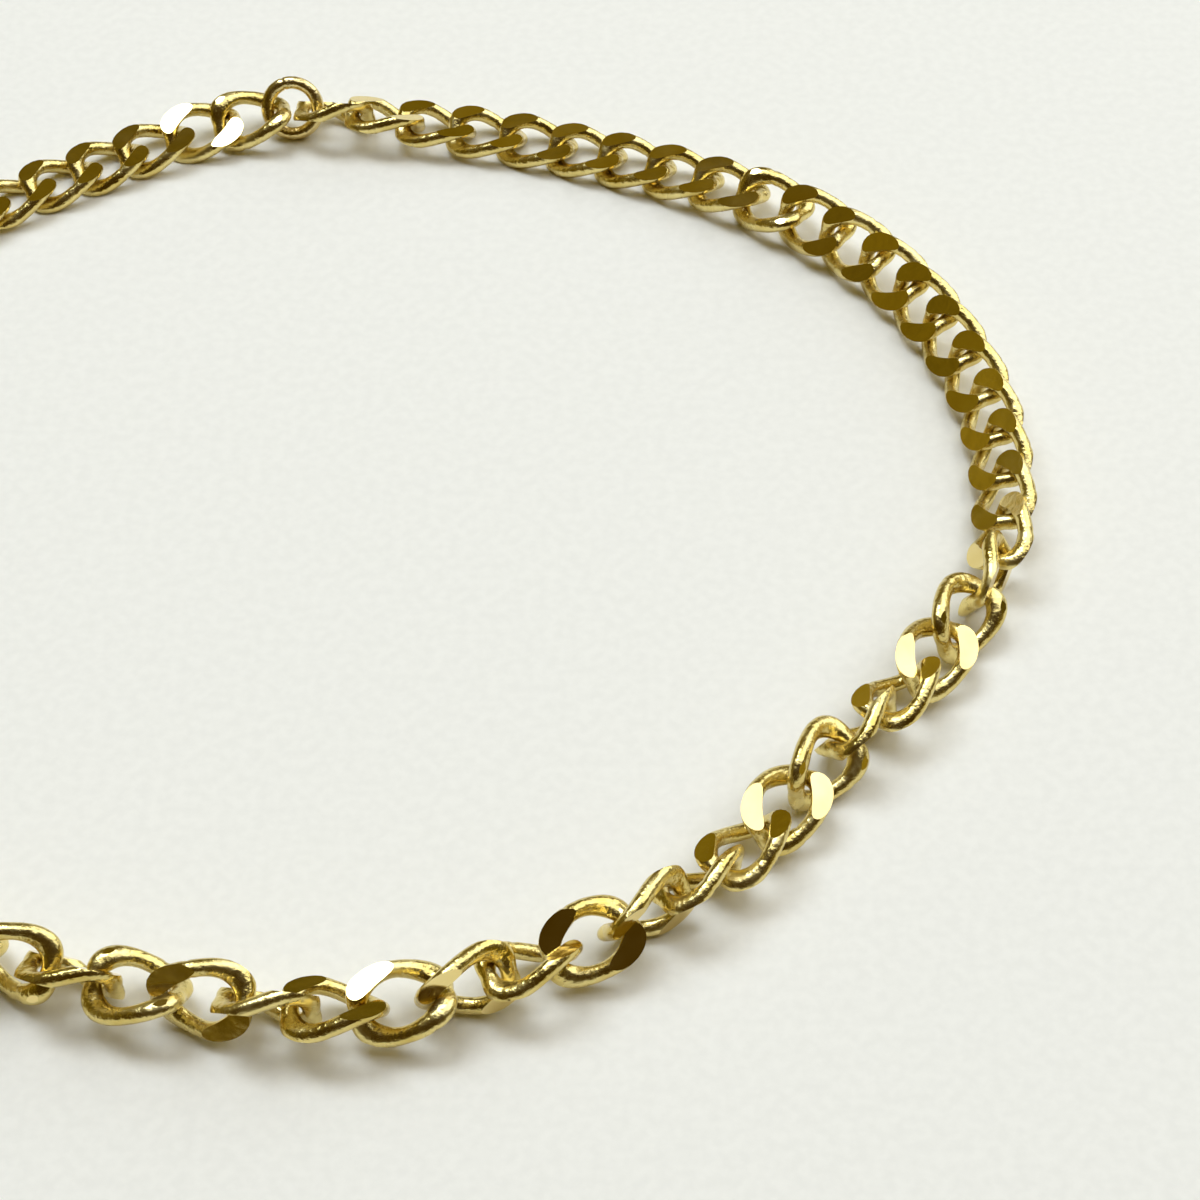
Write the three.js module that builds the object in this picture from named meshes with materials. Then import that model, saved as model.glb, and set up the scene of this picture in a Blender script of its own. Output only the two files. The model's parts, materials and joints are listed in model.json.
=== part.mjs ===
// Fine gold chain finger ring: a loose curb chain lying on its side as an uneven loop,
// closed by one round jump ring. Millimetres, +Z up, origin under the middle of the loop.
//
// The links are far too small to be solids of their own, so the chain is one tube along
// its true route, as thick as a link is wide. It rests on the flat underside of the tube.
import * as THREE from 'three';

// ---- driving dimensions ----
const linkWidth = 1.0;             // across one oval link, and so across the tube
const tubeSides = 8;               // the tube's section is an octagon with a flat at the bottom
const tubeSteps = 30;              // about two tube widths to a step along the route
const ringOuterDiameter = 1.0;     // jump ring, across the outside of its wire
const ringWireDiameter = 0.2;      // jump ring wire
const ringLeanDeg = 30;            // the jump ring's top leans back, away from the loop's middle
const ringWireSides = 10;
const ringTurnSides = 28;
const clearance = 0.3;             // between the jump ring and each end of the tube

const gold = { color: 0xd9a93f, roughness: 0.18, metalness: 1.0 };

// ---- the chain's route ----
// The middle line of the chain, seen from above, [x, y]. It starts at the jump ring's right
// side, runs round the far, right, near and left sides, and comes back to its left side.
const route = [
  [0.42, 7.95], [1.99, 7.60], [3.43, 7.16], [4.86, 6.58], [5.90, 6.06], [6.85, 5.42],
  [7.74, 4.55], [8.46, 3.35], [8.95, 2.00], [9.11, 0.75], [9.05, -0.55], [8.82, -1.46],
  [8.42, -2.12], [7.92, -2.86], [7.40, -3.55], [6.85, -4.12], [6.28, -4.72], [5.74, -5.42],
  [5.26, -6.02], [4.60, -6.52], [3.42, -7.29], [1.97, -7.87], [1.24, -8.10], [0.40, -8.20],
  [-1.01, -8.04], [-2.60, -7.74], [-4.00, -7.30], [-5.60, -6.70], [-7.15, -5.60], [-8.36, -4.05],
  [-9.00, -2.20], [-9.12, -0.35], [-8.92, 1.50], [-8.25, 3.28], [-7.12, 4.90], [-5.70, 6.15],
  [-4.34, 7.02], [-2.88, 7.79],
];
const ringCentre = [-1.29, 8.20];

const tubeHeight = linkWidth / 2;                      // the tube's axis over the floor
const endReach = ringOuterDiameter / 2 + clearance;    // from the ring's centre to a tube end

// ---- helpers ----
const finish = ({ color, roughness, metalness }) =>
  new THREE.MeshStandardMaterial({ color, roughness, metalness });

const named = (name, geometry) => {
  const mesh = new THREE.Mesh(geometry, finish(gold));
  mesh.name = name;
  return mesh;
};

// A point at the tube's height, endReach from the ring's centre towards a point of the route.
const tubeEnd = ([x, y]) => {
  const centre = new THREE.Vector3(...ringCentre, tubeHeight);
  const away = new THREE.Vector3(x, y, tubeHeight).sub(centre).setLength(endReach);
  return centre.add(away);
};

// ---- chain ----
// A regular octagon whose distance across flats is the link's width, turned so that one flat
// faces down along the whole route.
function tubeSection() {
  const section = new THREE.Shape();
  const cornerRadius = linkWidth / 2 / Math.cos(Math.PI / tubeSides);
  for (let i = 0; i < tubeSides; i += 1) {
    const angle = ((i + 0.5) * 2 * Math.PI) / tubeSides;
    const corner = [cornerRadius * Math.cos(angle), cornerRadius * Math.sin(angle)];
    if (i === 0) section.moveTo(...corner);
    else section.lineTo(...corner);
  }
  section.closePath();
  return section;
}

function chain() {
  const middle = route.map(([x, y]) => new THREE.Vector3(x, y, tubeHeight));
  const path = new THREE.CatmullRomCurve3([
    tubeEnd(route[0]), ...middle, tubeEnd(route[route.length - 1]),
  ]);
  return named('chain', new THREE.ExtrudeGeometry(tubeSection(), {
    steps: tubeSteps, extrudePath: path, bevelEnabled: false,
  }));
}

// ---- jump ring ----
// A round wire ring standing in the gap of the loop, its hole facing the loop's middle.
function jumpRing() {
  const wireRadius = ringWireDiameter / 2;
  const turnRadius = ringOuterDiameter / 2 - wireRadius;
  const lean = THREE.MathUtils.degToRad(ringLeanDeg);
  const ring = named('jump_ring',
    new THREE.TorusGeometry(turnRadius, wireRadius, ringWireSides, ringTurnSides));
  ring.rotation.x = Math.PI / 2 - lean;
  ring.position.set(...ringCentre, turnRadius * Math.cos(lean) + wireRadius);
  return ring;
}

const chainRing = new THREE.Group();
chainRing.add(chain(), jumpRing());

export default chainRing;
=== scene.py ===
# Fine gold chain finger ring: a loose diamond-cut curb chain lying on a pale floor, closed by one
# round jump ring. Lengths are millimetres in the dictionaries and metres in the meshes.
import json
import math
import random

import bmesh
import bpy
import numpy
from mathutils import Matrix, Vector, noise

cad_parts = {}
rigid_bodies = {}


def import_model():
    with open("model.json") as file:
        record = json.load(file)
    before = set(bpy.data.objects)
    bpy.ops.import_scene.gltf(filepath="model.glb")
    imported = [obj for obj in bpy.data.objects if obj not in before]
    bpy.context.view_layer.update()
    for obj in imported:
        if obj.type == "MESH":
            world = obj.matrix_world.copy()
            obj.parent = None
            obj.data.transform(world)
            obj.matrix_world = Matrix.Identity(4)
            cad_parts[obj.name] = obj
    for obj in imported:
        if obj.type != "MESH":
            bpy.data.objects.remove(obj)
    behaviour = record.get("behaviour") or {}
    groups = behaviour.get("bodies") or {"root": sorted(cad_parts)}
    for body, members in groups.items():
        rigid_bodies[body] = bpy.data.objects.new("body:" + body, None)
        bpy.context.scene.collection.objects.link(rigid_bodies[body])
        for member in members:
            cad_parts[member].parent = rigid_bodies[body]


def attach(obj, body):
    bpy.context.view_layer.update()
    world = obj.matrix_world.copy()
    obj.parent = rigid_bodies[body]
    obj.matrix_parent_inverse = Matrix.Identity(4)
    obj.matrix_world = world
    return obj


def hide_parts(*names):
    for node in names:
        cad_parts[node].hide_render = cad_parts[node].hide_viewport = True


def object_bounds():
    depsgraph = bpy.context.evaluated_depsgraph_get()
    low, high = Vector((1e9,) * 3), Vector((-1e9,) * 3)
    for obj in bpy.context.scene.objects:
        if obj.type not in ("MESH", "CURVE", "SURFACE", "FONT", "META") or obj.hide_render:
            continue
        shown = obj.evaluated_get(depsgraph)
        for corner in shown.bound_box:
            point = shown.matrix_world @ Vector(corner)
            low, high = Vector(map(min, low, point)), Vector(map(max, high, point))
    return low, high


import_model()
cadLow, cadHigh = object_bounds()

mm = 0.001
scene = bpy.context.scene
loopCentre = (cadLow + cadHigh) / 2


def srgb(hexCode):
    # sRGB hex to the linear colour that Blender's sockets expect
    parts = [int(hexCode[i:i + 2], 16) / 255 for i in (1, 3, 5)]
    return [c / 12.92 if c <= 0.04045 else ((c + 0.055) / 1.055) ** 2.4 for c in parts] + [1.0]


def addNode(tree, kind, inputs=None, **settings):
    # adds one node, sets its options, then fills or links its inputs by name or number
    node = tree.nodes.new(kind)
    for option, value in settings.items():
        setattr(node, option, value)
    for key, value in (inputs or {}).items():
        if isinstance(value, bpy.types.NodeSocket):
            tree.links.new(value, node.inputs[key])
        else:
            node.inputs[key].default_value = value
    return node


def setRamp(node, stops):
    # gives a Color Ramp its stops, each one (position, sRGB hex)
    ramp = node.color_ramp
    while len(ramp.elements) < len(stops):
        ramp.elements.new(0.5)
    for element, (position, hexCode) in zip(ramp.elements, stops):
        element.position = position
        element.color = srgb(hexCode)


def closeTube(mesh, rings, places, girth):
    # skins rings of points into one closed tube; its UVs are millimetres along and around the wire
    uvLayer = mesh.loops.layers.uv.new("wire")
    rows = [[mesh.verts.new(point * mm) for point in ring] for ring in rings]
    sides = len(rings[0])
    for station, row in enumerate(rows):
        nextRow = rows[(station + 1) % len(rows)]
        for side in range(sides):
            nextSide = (side + 1) % sides
            face = mesh.faces.new((row[side], row[nextSide], nextRow[nextSide], nextRow[side]))
            face.smooth = True
            corners = ((station, side), (station, side + 1),
                       (station + 1, side + 1), (station + 1, side))
            for loop, (along, around) in zip(face.loops, corners):
                loop[uvLayer].uv = (places[along], around / sides * girth)
    return uvLayer


chain = {
    "links": 68,
    "linkLength": 1.24,       # outside, along the chain
    "linkWidth": 1.00,        # outside, across the chain
    "wire": 0.21,             # the drawn wire's diameter
    "twist": 70.0,            # degrees that a link is twisted from one end to the other
    # how far the flats lie from a link's middle plane, and how far they lean sideways, in degrees
    "cuts": [(0.135, 0.0), (0.230, 0.0), (0.190, -11.0), (0.160, 1.0), (0.150, -1.0), (0.170, 0.0)],
    # links of the first three shapes, counted from the jump ring; the rest are any of the others
    "deepest": [*range(12, 20), 22, 26, 30, 36, 66],
    "faintest": [9, 21, 25, 37, 39, 67],
    "uneven": [33],           # cut deeper on one side
    # how much the shapes differ in length, width, twist and where round the link the seam is
    "lengthFactor": (0.996, 1.004),
    "widthFactor": (0.985, 1.01),
    "extraTwist": (-2, 2),
    "seamPlace": (0.4, 0.7),  # in half turns
    "spread": 0.38,           # how much wider the pressed wire is under a flat
    "spreadOut": 0.95,        # how much of that goes outwards
    "seamDepth": 0.10,        # the notch where a link's wire ends butt, as a part of its radius
    "seamWidth": 0.03,        # radians round the link
    "dent": 0.02,             # how uneven the wire's thickness is, as a part of its radius
    "dentsPerMm": 5,
    "tautLinks": 7,           # links from the jump ring that lie stretched
    "taut": 1.035,            # how much further apart these lie than the rest
    "pitchRange": (0.5, 1.0),  # the pitch that fits the line is looked for between these
    "stiffness": 0.35,        # how far a hanging point follows its neighbours at each settling step
    "sag": 0.006,             # how far it drops at each step
    "steepest": 0.6,          # sine of the most that a link may tilt
    "sweeps": 300,            # settling steps
    "floorGap": 0.012,        # left under the lowest point of a link
    "hook": 0.265,            # from the jump ring's centre to where the first and last links hang
    "hookDrop": 0.04,         # how far under that centre they hang
    "rollJitter": 1.5,        # degrees
    "stations": 72,           # mesh rings along a link's wire
    "sides": 16,              # mesh sides around it
    "seed": 7,
}

# The chain's middle line seen from above: the line in the part's source, a little straighter along
# the far side. It starts at the jump ring's right side and runs by the far, right, near and left
# sides back to its left side.
route = [
    (0.42, 8.02), (1.99, 7.78), (3.43, 7.36), (4.86, 6.79), (5.90, 6.20), (6.85, 5.45),
    (7.74, 4.55), (8.46, 3.35), (8.95, 2.00), (9.11, 0.75), (9.05, -0.55), (8.82, -1.46),
    (8.42, -2.12), (7.92, -2.86), (7.40, -3.55), (6.85, -4.12), (6.28, -4.72), (5.74, -5.42),
    (5.26, -6.02), (4.60, -6.52), (3.42, -7.29), (1.97, -7.87), (1.24, -8.10), (0.40, -8.20),
    (-1.01, -8.04), (-2.60, -7.74), (-4.00, -7.30), (-5.60, -6.70), (-7.15, -5.60), (-8.36, -4.05),
    (-9.00, -2.20), (-9.12, -0.35), (-8.92, 1.50), (-8.25, 3.28), (-7.12, 4.90), (-5.70, 6.15),
    (-4.34, 7.02), (-2.88, 7.79),
]
ringCentre = (-1.29, 8.20)

# How far each link is rolled about the chain's line, in degrees: 0 lies flat, and a positive roll
# leans its upper face in towards the middle of the loop.
linkRolls = {
    "far": [-40, -22, -8, 0, 4, 5, 5, 5, 8, 22, 40, 46],
    "right": [48, 50, 50, 48, 48, 48, 46, 48, 92],
    "near": [140, 160, 210, 245, 308, 345, 382, 412, 448, 510,
             574, 640, 703, 747, 784, 842, 906, 955, 1015],
    "left": [1080, 1085, 1090, 1110, 1150, 1190, 1230, 1255, 1260, 1265, 1262, 1260, 1255, 1262,
             1268, 1265, 1262, 1260, 1262, 1265, 1260, 1256, 1255, 1258, 1260, 1262, 1278, 1275],
}


def smoothLine(points, steps=200):
    # Catmull-Rom curve through the points, as a dense list
    padded = [2 * points[0] - points[1], *points, 2 * points[-1] - points[-2]]
    line = []
    for p0, p1, p2, p3 in zip(padded, padded[1:], padded[2:], padded[3:]):
        for step in range(steps):
            t = step / steps
            line.append(0.5 * (2 * p1 + (p2 - p0) * t + (2 * p0 - 5 * p1 + 4 * p2 - p3) * t ** 2
                               + (3 * p1 - p0 - 3 * p2 + p3) * t ** 3))
    return line + [points[-1]]


def walk(line, pitch):
    # steps along the line, one for each link; fewer points come back where the line runs out
    reached = [line[0]]
    for point in line:
        wanted = pitch * (chain["taut"] if len(reached) <= chain["tautLinks"] else 1)
        if (point - reached[-1]).length >= wanted:
            reached.append(point)
        if len(reached) > chain["links"]:
            break
    return reached


def hangPoints():
    # where neighbouring links meet, from one side of the jump ring round to the other, and the pitch
    centre = Vector(ringCentre)
    line = smoothLine([centre, *map(Vector, route), centre])
    line = [p for p in line if (p - centre).length >= chain["hook"]]
    low, high = chain["pitchRange"]
    for _ in range(30):
        pitch = (low + high) / 2
        if len(walk(line, pitch)) > chain["links"]:
            low = pitch
        else:
            high = pitch
    return walk(line, low), low


def wireLine(shape, turn):
    # a point on a link's twisted oval, and the twist there
    x = shape["halfLength"] * math.cos(turn)
    y = shape["halfWidth"] * math.sin(turn)
    twist = -math.radians(shape["twist"]) * x / (2 * shape["halfLength"])
    return Vector((x, y * math.cos(twist), y * math.sin(twist))), twist


def linkShape(number):
    # the sizes of one of the slightly different links
    draw = random.Random(chain["seed"] + number)
    return {
        "halfLength": (chain["linkLength"] - chain["wire"]) / 2 * draw.uniform(*chain["lengthFactor"]),
        "halfWidth": (chain["linkWidth"] - chain["wire"]) / 2 * draw.uniform(*chain["widthFactor"]),
        "twist": chain["twist"] + draw.uniform(*chain["extraTwist"]),
        "cutHeight": chain["cuts"][number][0],
        "cutLean": math.radians(chain["cuts"][number][1]),
        "seam": draw.uniform(*chain["seamPlace"]) * math.pi,
        "offset": Vector((draw.uniform(0, 9), draw.uniform(0, 9), draw.uniform(0, 9))),
    }


def wireRings(shape):
    # rings of points round the link's wire, and how far along the wire each one is
    radius = chain["wire"] / 2
    rings, places = [], [0.0]
    for station in range(chain["stations"]):
        turn = 2 * math.pi * station / chain["stations"]
        centre, twist = wireLine(shape, turn)
        step = 2 * math.pi / chain["stations"]
        places.append(places[-1] + (wireLine(shape, turn + step)[0] - centre).length)
        tangent = (wireLine(shape, turn + 0.01)[0] - wireLine(shape, turn - 0.01)[0]).normalized()
        lift = Vector((0, -math.sin(twist), math.cos(twist)))
        across = tangent.cross(lift).normalized()
        lift = across.cross(tangent)
        # the wire is pressed wider under a flat, most of all near the link's end
        wider = chain["spread"] * abs(math.sin(2 * turn)) ** 1.5 * (1 + 0.5 * math.cos(2 * turn))
        fromSeam = (turn - shape["seam"]) / chain["seamWidth"]
        seam = 1 - chain["seamDepth"] * math.exp(-fromSeam ** 2)
        ring = []
        for side in range(chain["sides"]):
            angle = 2 * math.pi * side / chain["sides"]
            spot = centre * chain["dentsPerMm"] + lift * math.sin(angle) + shape["offset"]
            dent = 1 + chain["dent"] * noise.noise(spot)
            reach = radius * seam * dent
            sideways = reach * (math.cos(angle) * (1 + wider) + chain["spreadOut"] * wider)
            ring.append(centre + across * sideways + lift * (math.sin(angle) * reach))
        rings.append(ring)
    return rings, places


def buildLink(number):
    # one link of twisted oval wire with its two faces cut flat, as a closed mesh
    shape = linkShape(number)
    mesh = bmesh.new()
    cutLayer = mesh.faces.layers.bool.new("cutFace")
    rings, places = wireRings(shape)
    uvLayer = closeTube(mesh, rings, places, math.pi * chain["wire"])
    for up in (1, -1):
        parts = [*mesh.verts, *mesh.edges, *mesh.faces]
        facing = Vector((0, math.sin(shape["cutLean"]), math.cos(shape["cutLean"]))) * up
        cut = bmesh.ops.bisect_plane(mesh, geom=parts, clear_outer=True, dist=1e-8,
                                     plane_co=facing * shape["cutHeight"] * mm, plane_no=facing)
        rim = [part for part in cut["geom_cut"] if isinstance(part, bmesh.types.BMEdge)]
        for face in bmesh.ops.holes_fill(mesh, edges=rim, sides=0)["faces"]:
            face.smooth = False
            face[cutLayer] = True
            for loop in face.loops:
                loop[uvLayer].uv = loop.vert.co.xy / mm
        for edge in rim:
            if edge.is_valid:
                edge.smooth = False
    bmesh.ops.remove_doubles(mesh, verts=mesh.verts, dist=1e-7)
    bmesh.ops.recalc_face_normals(mesh, faces=mesh.faces)
    made = bpy.data.meshes.new(f"linkShape_{number}")
    made.materials.append(wireGold)
    mesh.to_mesh(made)
    mesh.free()
    return made


def clearHeight(spots, roll, tilt):
    # how high a link's middle lies when its lowest point just clears the floor; angles in radians
    row = (math.sin(tilt), math.sin(roll) * math.cos(tilt), math.cos(roll) * math.cos(tilt))
    return chain["floorGap"] - (spots @ numpy.array(row)).min()


def settleHeights(rolls, picks, shapes, pitch, endHeight):
    # lets the hanging points down like a slightly stiff chain: links that stand on edge touch the
    # floor and hold their neighbours up
    spots = [numpy.array([v.co / mm for v in shape.vertices]) for shape in shapes]
    heights = [endHeight] * (len(rolls) + 1)
    for _ in range(chain["sweeps"]):
        for end in range(1, len(rolls)):
            level = (heights[end - 1] + heights[end + 1]) / 2
            heights[end] += chain["stiffness"] * (level - heights[end]) - chain["sag"]
        for link, roll in enumerate(rolls):
            slope = (heights[link + 1] - heights[link]) / pitch
            tilt = math.asin(max(-chain["steepest"], min(chain["steepest"], slope)))
            middle = (heights[link] + heights[link + 1]) / 2
            wanted = clearHeight(spots[picks[link]], math.radians(roll), tilt)
            for end in (link, link + 1):
                if 0 < end < len(rolls):
                    heights[end] += max(0, wanted - middle)
    return heights


def growLinks(points, heights, rolls, picks, linkMeshes):
    # the chain's line as a mesh: one edge for each link, with the link's roll and shape on the edge
    line = bpy.data.meshes.new("chainLine")
    spots = [(p.x * mm, p.y * mm, z * mm) for p, z in zip(points, heights)]
    line.from_pydata(spots, [(i, i + 1) for i in range(len(rolls))], [])
    turns = [math.radians(roll) for roll in rolls]
    line.attributes.new("roll", "FLOAT", "EDGE").data.foreach_set("value", turns)
    line.attributes.new("shape", "INT", "EDGE").data.foreach_set("value", picks)
    holder = bpy.data.objects.new("chainLine", line)
    scene.collection.objects.link(holder)
    shapes = bpy.data.collections.new("linkShapes")
    scene.collection.children.link(shapes)
    for linkMesh in linkMeshes:
        shapes.objects.link(bpy.data.objects.new(linkMesh.name, linkMesh))

    tree = bpy.data.node_groups.new("linksAlongLine", "GeometryNodeTree")
    face = tree.interface
    face.new_socket("Geometry", in_out="INPUT", socket_type="NodeSocketGeometry")
    sizeSocket = face.new_socket("Link Size", in_out="INPUT", socket_type="NodeSocketFloat")
    jitterSocket = face.new_socket("Roll Jitter", in_out="INPUT", socket_type="NodeSocketFloat")
    seedSocket = face.new_socket("Seed", in_out="INPUT", socket_type="NodeSocketInt")
    face.new_socket("Geometry", in_out="OUTPUT", socket_type="NodeSocketGeometry")
    given = addNode(tree, "NodeGroupInput").outputs
    ends = addNode(tree, "GeometryNodeInputMeshEdgeVertices").outputs
    along = addNode(tree, "ShaderNodeVectorMath", {0: ends["Position 2"], 1: ends["Position 1"]},
                    operation="SUBTRACT").outputs[0]
    kept = addNode(tree, "GeometryNodeStoreNamedAttribute",
                   {"Geometry": given["Geometry"], "Name": "along", "Value": along},
                   data_type="FLOAT_VECTOR", domain="EDGE").outputs[0]
    middles = addNode(tree, "GeometryNodeMeshToPoints", {"Mesh": kept}, mode="EDGES").outputs[0]
    direction = addNode(tree, "GeometryNodeInputNamedAttribute", {"Name": "along"},
                        data_type="FLOAT_VECTOR").outputs[0]
    roll = addNode(tree, "GeometryNodeInputNamedAttribute", {"Name": "roll"},
                   data_type="FLOAT").outputs[0]
    shape = addNode(tree, "GeometryNodeInputNamedAttribute", {"Name": "shape"},
                    data_type="INT").outputs[0]
    place = addNode(tree, "GeometryNodeInputIndex").outputs[0]
    forward = addNode(tree, "FunctionNodeAlignRotationToVector", {"Vector": direction},
                      axis="X").outputs[0]
    upright = addNode(tree, "FunctionNodeAlignRotationToVector",
                      {"Rotation": forward, "Vector": (0, 0, 1)}, axis="Z", pivot_axis="X").outputs[0]
    jitterLow = addNode(tree, "ShaderNodeMath", {0: given["Roll Jitter"], 1: -1.0},
                        operation="MULTIPLY").outputs[0]
    jitter = addNode(tree, "FunctionNodeRandomValue",
                     {"Min": jitterLow, "Max": given["Roll Jitter"],
                      "ID": place, "Seed": given["Seed"]},
                     data_type="FLOAT").outputs[1]
    turned = addNode(tree, "ShaderNodeMath", {0: roll, 1: jitter}, operation="ADD").outputs[0]
    spin = addNode(tree, "FunctionNodeAxisAngleToRotation",
                   {"Axis": (1, 0, 0), "Angle": turned}).outputs[0]
    final = addNode(tree, "FunctionNodeRotateRotation", {"Rotation": upright, "Rotate By": spin},
                    rotation_space="LOCAL").outputs[0]
    source = addNode(tree, "GeometryNodeCollectionInfo",
                     {"Collection": shapes, "Separate Children": True,
                      "Reset Children": True}).outputs[0]
    placed = addNode(tree, "GeometryNodeInstanceOnPoints",
                     {"Points": middles, "Instance": source, "Pick Instance": True,
                      "Instance Index": shape, "Rotation": final,
                      "Scale": given["Link Size"]}).outputs[0]
    real = addNode(tree, "GeometryNodeRealizeInstances", {"Geometry": placed}).outputs[0]
    wired = addNode(tree, "GeometryNodeSetMaterial",
                    {"Geometry": real, "Material": wireGold}).outputs[0]
    isCut = addNode(tree, "GeometryNodeInputNamedAttribute", {"Name": "cutFace"},
                    data_type="BOOLEAN").outputs[0]
    finished = addNode(tree, "GeometryNodeSetMaterial",
                       {"Geometry": wired, "Selection": isCut, "Material": cutGold}).outputs[0]
    addNode(tree, "NodeGroupOutput", {"Geometry": finished})

    modifier = holder.modifiers.new("links", "NODES")
    modifier.node_group = tree
    modifier[sizeSocket.identifier] = 1.0
    modifier[jitterSocket.identifier] = math.radians(chain["rollJitter"])
    modifier[seedSocket.identifier] = chain["seed"]
    graph = bpy.context.evaluated_depsgraph_get()
    mesh = bpy.data.meshes.new_from_object(holder.evaluated_get(graph), depsgraph=graph)
    mesh.name = "chain_links"
    for spare in list(shapes.objects) + [holder]:
        bpy.data.objects.remove(spare)
    bpy.data.collections.remove(shapes)
    piece = bpy.data.objects.new("chain_links", mesh)
    scene.collection.objects.link(piece)
    return piece


jumpRing = {
    "outside": 1.00,          # across the ring
    "wire": 0.20,
    "lean": 30.0,             # degrees that the ring's top leans back
    "seam": 109.0,            # degrees round the ring to where its wire ends butt
    "seamDepth": 0.14,        # as a part of the wire's radius
    "seamWidth": 0.035,       # radians round the ring
    "stations": 96,           # mesh rings round the wire's length
    "sides": 20,              # mesh sides around it
}
ringTurn = (jumpRing["outside"] - jumpRing["wire"]) / 2      # radius of the wire's middle line
ringLean = math.radians(jumpRing["lean"])
ringHeight = ringTurn * math.cos(ringLean) + jumpRing["wire"] / 2


def buildJumpRing():
    # round wire bent to a ring, its two ends butted in a fine seam
    mesh = bmesh.new()
    count = jumpRing["stations"]
    rings = []
    for station in range(count):
        turn = 2 * math.pi * station / count
        outward = Vector((math.cos(turn), 0, math.sin(turn)))
        fromSeam = (turn - math.radians(jumpRing["seam"])) / jumpRing["seamWidth"]
        radius = jumpRing["wire"] / 2 * (1 - jumpRing["seamDepth"] * math.exp(-fromSeam ** 2))
        ring = []
        for side in range(jumpRing["sides"]):
            angle = 2 * math.pi * side / jumpRing["sides"]
            reach = outward * (ringTurn + math.cos(angle) * radius)
            ring.append(reach + Vector((0, math.sin(angle) * radius, 0)))
        rings.append(ring)
    places = [2 * math.pi * ringTurn * station / count for station in range(count + 1)]
    closeTube(mesh, rings, places, math.pi * jumpRing["wire"])
    stand = Matrix.Rotation(-ringLean, 4, "X")
    place = Matrix.Translation(Vector((*ringCentre, ringHeight)) * mm)
    bmesh.ops.transform(mesh, matrix=place @ stand, verts=mesh.verts)
    bmesh.ops.recalc_face_normals(mesh, faces=mesh.faces)
    made = bpy.data.meshes.new("jump_ring_wire")
    mesh.to_mesh(made)
    mesh.free()
    made.materials.append(ringGold)
    piece = bpy.data.objects.new("jump_ring_wire", made)
    scene.collection.objects.link(piece)
    return piece


def goldMaterial(name, facts):
    # patches of tone and shine, lines along the wire or the cut, and small dents; sizes and depths are
    # millimetres, and lineScale is how many lines there are in one, along and across
    material = bpy.data.materials.new(name)
    material.use_nodes = True
    tree = material.node_tree
    tree.nodes.clear()
    where = addNode(tree, "ShaderNodeTexCoord").outputs["Object"]
    patchScale = 1 / (facts["patchSize"] * mm)
    patch = addNode(tree, "ShaderNodeTexNoise",
                    {"Vector": where, "Scale": patchScale, "Detail": 3.0}).outputs[0]
    tone = addNode(tree, "ShaderNodeValToRGB", {0: patch})
    setRamp(tone, [(0.3, facts["deep"]), (0.7, facts["bright"])])
    shine = addNode(tree, "ShaderNodeMapRange",
                    {"Value": patch, "From Min": 0.3, "From Max": 0.7,
                     "To Min": facts["smooth"], "To Max": facts["rough"]}).outputs[0]
    wireMap = addNode(tree, "ShaderNodeUVMap", uv_map="wire").outputs[0]
    stretched = addNode(tree, "ShaderNodeMapping",
                        {"Vector": wireMap, "Scale": facts["lineScale"]}).outputs[0]
    lines = addNode(tree, "ShaderNodeTexNoise",
                    {"Vector": stretched, "Scale": 1.0, "Detail": 2.0}).outputs[0]
    dentScale = 1 / (facts["dentSize"] * mm)
    dents = addNode(tree, "ShaderNodeTexNoise",
                    {"Vector": where, "Scale": dentScale, "Detail": 2.0}).outputs[0]
    lined = addNode(tree, "ShaderNodeBump",
                    {"Strength": 1.0, "Distance": facts["lineDepth"] * mm,
                     "Height": lines}).outputs[0]
    bumped = addNode(tree, "ShaderNodeBump",
                     {"Strength": 1.0, "Distance": facts["dentDepth"] * mm, "Height": dents,
                      "Normal": lined}).outputs[0]
    surface = addNode(tree, "ShaderNodeBsdfPrincipled",
                      {"Base Color": tone.outputs[0], "Metallic": 1.0, "Roughness": shine,
                       "Normal": bumped}).outputs[0]
    addNode(tree, "ShaderNodeOutputMaterial", {"Surface": surface})
    return material


print("materials")
# yellow gold wire, drawn and tumble-polished: a soft mirror with faint lines along the wire
wireGold = goldMaterial("drawn_polished_gold_wire", {
    "deep": "#D2BA68", "bright": "#EFDE99", "patchSize": 0.35, "smooth": 0.18, "rough": 0.32,
    "lineScale": (2.0, 40.0, 1.0), "lineDepth": 0.0015, "dentSize": 0.08, "dentDepth": 0.012,
})
# the same gold cut by a diamond tool: a near mirror, with faint parallel tool marks
cutGold = goldMaterial("diamond_cut_gold_flat", {
    "deep": "#EBD48A", "bright": "#F5E19E", "patchSize": 0.5, "smooth": 0.06, "rough": 0.12,
    "lineScale": (1.0, 30.0, 1.0), "lineDepth": 0.0002, "dentSize": 0.25, "dentDepth": 0.005,
})
# the jump ring's round wire: the same soft mirror, a little smoother than the links
ringGold = goldMaterial("polished_gold_jump_ring", {
    "deep": "#DAC27E", "bright": "#EBD89C", "patchSize": 0.3, "smooth": 0.16, "rough": 0.28,
    "lineScale": (2.0, 40.0, 1.0), "lineDepth": 0.0015, "dentSize": 0.08, "dentDepth": 0.012,
})

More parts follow.
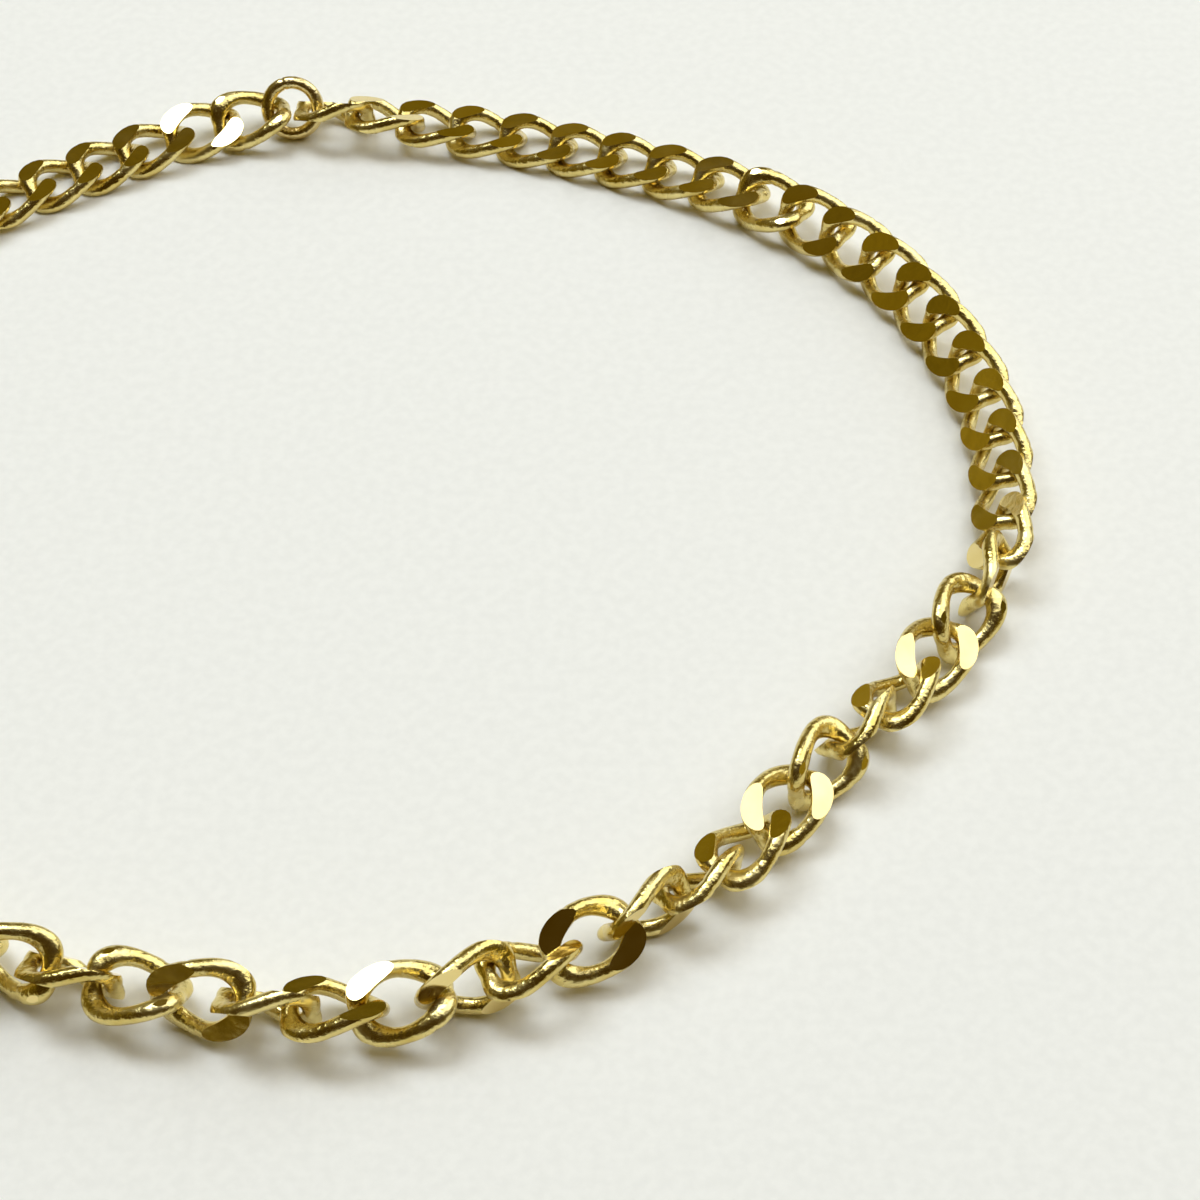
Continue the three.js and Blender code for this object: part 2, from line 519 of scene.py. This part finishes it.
print("chain links")
points, pitch = hangPoints()
rolls = [roll for stretch in ("far", "right", "near", "left") for roll in linkRolls[stretch]]
otherShapes = random.Random(chain["seed"])
picks = [otherShapes.randrange(3, len(chain["cuts"])) for _ in rolls]
for number, special in enumerate(("deepest", "faintest", "uneven")):
    for link in chain[special]:
        picks[link] = number
linkMeshes = [buildLink(number) for number in range(len(chain["cuts"]))]
heights = settleHeights(rolls, picks, linkMeshes, pitch, ringHeight - chain["hookDrop"])
links = growLinks(points, heights, rolls, picks, linkMeshes)
print("  links", len(rolls), "pitch", round(pitch, 4), "triangles",
      sum(len(face.vertices) - 2 for face in links.data.polygons))

print("jump ring")
ring = buildJumpRing()

print("floor, light and camera")
floorFacts = {
    "size": 4000.0,           # large enough that no low view shows its edge
    "grain": 0.15,            # size of the spots in its pale pattern
    "deep": "#F7F6EA",
    "bright": "#FBFAEE",
    "roughness": 0.7,
    "specular": 0.2,
}


def floorMaterial():
    # matt pale laminate with a very fine grain
    material = bpy.data.materials.new("matt_pale_laminate")
    material.use_nodes = True
    tree = material.node_tree
    tree.nodes.clear()
    where = addNode(tree, "ShaderNodeTexCoord").outputs["Object"]
    grainScale = 1 / (floorFacts["grain"] * mm)
    grain = addNode(tree, "ShaderNodeTexNoise",
                    {"Vector": where, "Scale": grainScale, "Detail": 3.0}).outputs[0]
    tone = addNode(tree, "ShaderNodeValToRGB", {0: grain})
    setRamp(tone, [(0.35, floorFacts["deep"]), (0.65, floorFacts["bright"])])
    surface = addNode(tree, "ShaderNodeBsdfPrincipled",
                      {"Base Color": tone.outputs[0], "Roughness": floorFacts["roughness"],
                       "Specular IOR Level": floorFacts["specular"]}).outputs[0]
    addNode(tree, "ShaderNodeOutputMaterial", {"Surface": surface})
    return material


def layFloor():
    half = floorFacts["size"] / 2 * mm
    corners = [(-half, -half, 0), (half, -half, 0), (half, half, 0), (-half, half, 0)]
    mesh = bpy.data.meshes.new("floor")
    mesh.from_pydata(corners, [], [(0, 1, 2, 3)])
    mesh.materials.append(floorMaterial())
    made = bpy.data.objects.new("floor", mesh)
    scene.collection.objects.link(made)
    return made


# Soft rectangular lamps aimed at the loop. An azimuth of 0 is straight behind it, and a positive
# one is to the left. Distances and sizes are millimetres.
lamps = {
    "ceilingPanel": {
        "elevation": 68, "azimuth": -68, "distance": 300, "size": (420, 200),
        "radiance": 2.0, "tint": "#F4F7FF",
    },
    "backLamp": {
        "elevation": 62, "azimuth": 38, "distance": 300, "size": (170, 110),
        "radiance": 7.2, "tint": "#E4EEFF",
    },
    "sideWindow": {
        "elevation": 30, "azimuth": -42, "distance": 400, "size": (300, 280),
        "radiance": 2.2, "tint": "#EEF4FF",
    },
}


def addPanel(name, elevation, azimuth, distance, size, radiance, tint):
    # an area lamp's energy is its radiance over its whole area
    light = bpy.data.lights.new(name, "AREA")
    light.shape = "RECTANGLE"
    light.size, light.size_y = (side * mm for side in size)
    light.color = srgb(tint)[:3]
    light.energy = radiance * math.pi * light.size * light.size_y
    lamp = bpy.data.objects.new(name, light)
    up, turn = math.radians(elevation), math.radians(azimuth)
    away = Vector((-math.sin(turn) * math.cos(up), math.cos(turn) * math.cos(up), math.sin(up)))
    lamp.location = loopCentre + away * distance * mm
    lamp.rotation_euler = (-math.asin(away.y), math.atan2(away.x, away.z), 0)
    scene.collection.objects.link(lamp)


roomFacts = {
    # the room's tone from the floor's level up to straight overhead, by the sine of the elevation
    "heights": [(0.0, "#827226"), (0.3, "#655610"), (0.88, "#6B5B16"), (1.0, "#93895C")],
    "clutter": 3.0,           # how closely things stand about
    "clutterTones": (0.65, 1.4),    # how much these darken or lighten the room
    # the dark shape of whoever looks down at the loop: its middle's elevation in degrees, and the
    # cosines of its outer and inner spread
    "viewerElevation": 50.0,
    "viewerEdge": 0.40,
    "viewerCore": 0.80,
    "viewerTone": "#44340A",
}


def buildRoom():
    # the room round the loop: dim warm walls, a paler ceiling, and a dark patch for the viewer
    world = bpy.data.worlds.new("studio")
    scene.world = world
    world.use_nodes = True
    tree = world.node_tree
    tree.nodes.clear()
    direction = addNode(tree, "ShaderNodeTexCoord").outputs["Generated"]
    height = addNode(tree, "ShaderNodeSeparateXYZ", {0: direction}).outputs["Z"]
    room = addNode(tree, "ShaderNodeValToRGB", {0: height})
    setRamp(room, roomFacts["heights"])
    clutter = addNode(tree, "ShaderNodeTexNoise",
                      {"Vector": direction, "Scale": roomFacts["clutter"],
                       "Detail": 1.0}).outputs[0]
    darkest, lightest = roomFacts["clutterTones"]
    shade = addNode(tree, "ShaderNodeMapRange",
                    {"Value": clutter, "From Min": 0.35, "From Max": 0.65,
                     "To Min": darkest, "To Max": lightest}).outputs[0]
    filled = addNode(tree, "ShaderNodeVectorMath", {0: room.outputs[0], "Scale": shade},
                     operation="SCALE").outputs[0]
    up = math.radians(roomFacts["viewerElevation"])
    viewerSide = (0, -math.cos(up), math.sin(up))
    toViewer = addNode(tree, "ShaderNodeVectorMath", {0: direction, 1: viewerSide},
                       operation="DOT_PRODUCT").outputs["Value"]
    viewer = addNode(tree, "ShaderNodeMapRange",
                     {"Value": toViewer, "From Min": roomFacts["viewerEdge"],
                      "From Max": roomFacts["viewerCore"]},
                     interpolation_type="SMOOTHSTEP").outputs[0]
    seen = addNode(tree, "ShaderNodeMix",
                   {0: viewer, 6: filled, 7: srgb(roomFacts["viewerTone"])},
                   data_type="RGBA").outputs[2]
    background = addNode(tree, "ShaderNodeBackground", {"Color": seen}).outputs[0]
    addNode(tree, "ShaderNodeOutputWorld", {"Surface": background})


cameraFacts = {
    "elevation": 50.0,        # degrees over the floor
    "distance": 33.0,         # to the point that the picture is centred on
    "aim": (3.58, -1.92),     # that point, from the loop's middle
    "aimHeight": 0.45,
    "lens": 75.0,
    "sensor": 36.0,
}


def placeCamera():
    data = bpy.data.cameras.new("camera")
    data.lens = cameraFacts["lens"]
    data.sensor_width = cameraFacts["sensor"]
    data.clip_start = 0.001
    data.clip_end = 10.0
    made = bpy.data.objects.new("camera", data)
    scene.collection.objects.link(made)
    scene.camera = made
    rise = math.radians(cameraFacts["elevation"])
    aimX, aimY = cameraFacts["aim"]
    target = Vector((loopCentre.x + aimX * mm, loopCentre.y + aimY * mm,
                     cameraFacts["aimHeight"] * mm))
    away = Vector((0, -math.cos(rise), math.sin(rise)))
    made.location = target + away * cameraFacts["distance"] * mm
    made.rotation_euler = (math.pi / 2 - rise, 0, 0)


floor = layFloor()
for lampName, lampFacts in lamps.items():
    addPanel(lampName, **lampFacts)
buildRoom()
placeCamera()
scene.view_settings.view_transform = "Standard"

print("frame")
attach(links, "root")
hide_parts("chain")
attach(ring, "root")
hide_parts("jump_ring")
